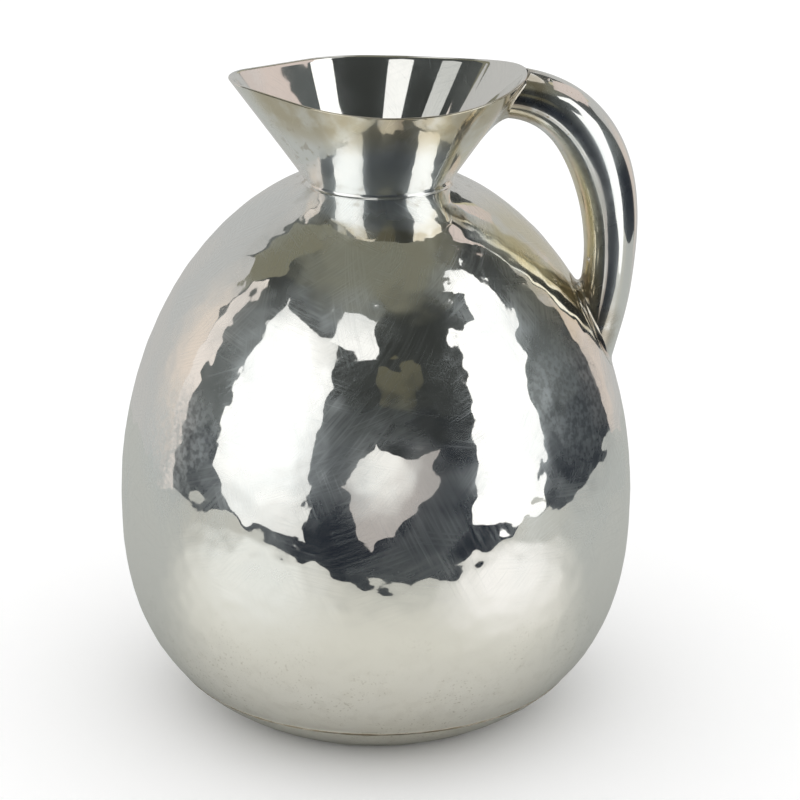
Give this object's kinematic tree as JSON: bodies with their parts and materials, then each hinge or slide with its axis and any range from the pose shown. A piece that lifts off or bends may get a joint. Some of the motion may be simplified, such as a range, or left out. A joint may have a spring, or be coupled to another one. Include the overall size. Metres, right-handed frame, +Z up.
{
  "type": "carafe",
  "caption": "Egg-shaped hammered silver carafe with a straight flared neck, a pear-shaped pouring lip and a fat hollow handle, for serving water or wine.",
  "frame": {"origin": "on the table, on the axis of the round body", "axes": "+Z up along the body's axis, +X towards the handle, -X towards the pouring lip"},
  "size_m": [0.15, 0.15, 0.1913],
  "materials": {
    "base_silver": "planished silver, lightly scratched and tarnished",
    "body_silver": "planished silver with fine hammer facets, polished",
    "neck_silver": "smooth polished silver",
    "handle_silver": "smooth polished silver",
    "solder": "silver solder, slightly darker"
  },
  "bodies": {
    "root": {"base_dish": "base_silver", "base_solder_seam": "solder", "body_shell": "body_silver", "neck_funnel": "neck_silver", "neck_solder_fillet": "solder", "handle_outer_half": "handle_silver", "handle_inner_half": "handle_silver", "handle_upper_solder": "solder", "handle_lower_solder": "solder"}
  },
  "joints": []
}
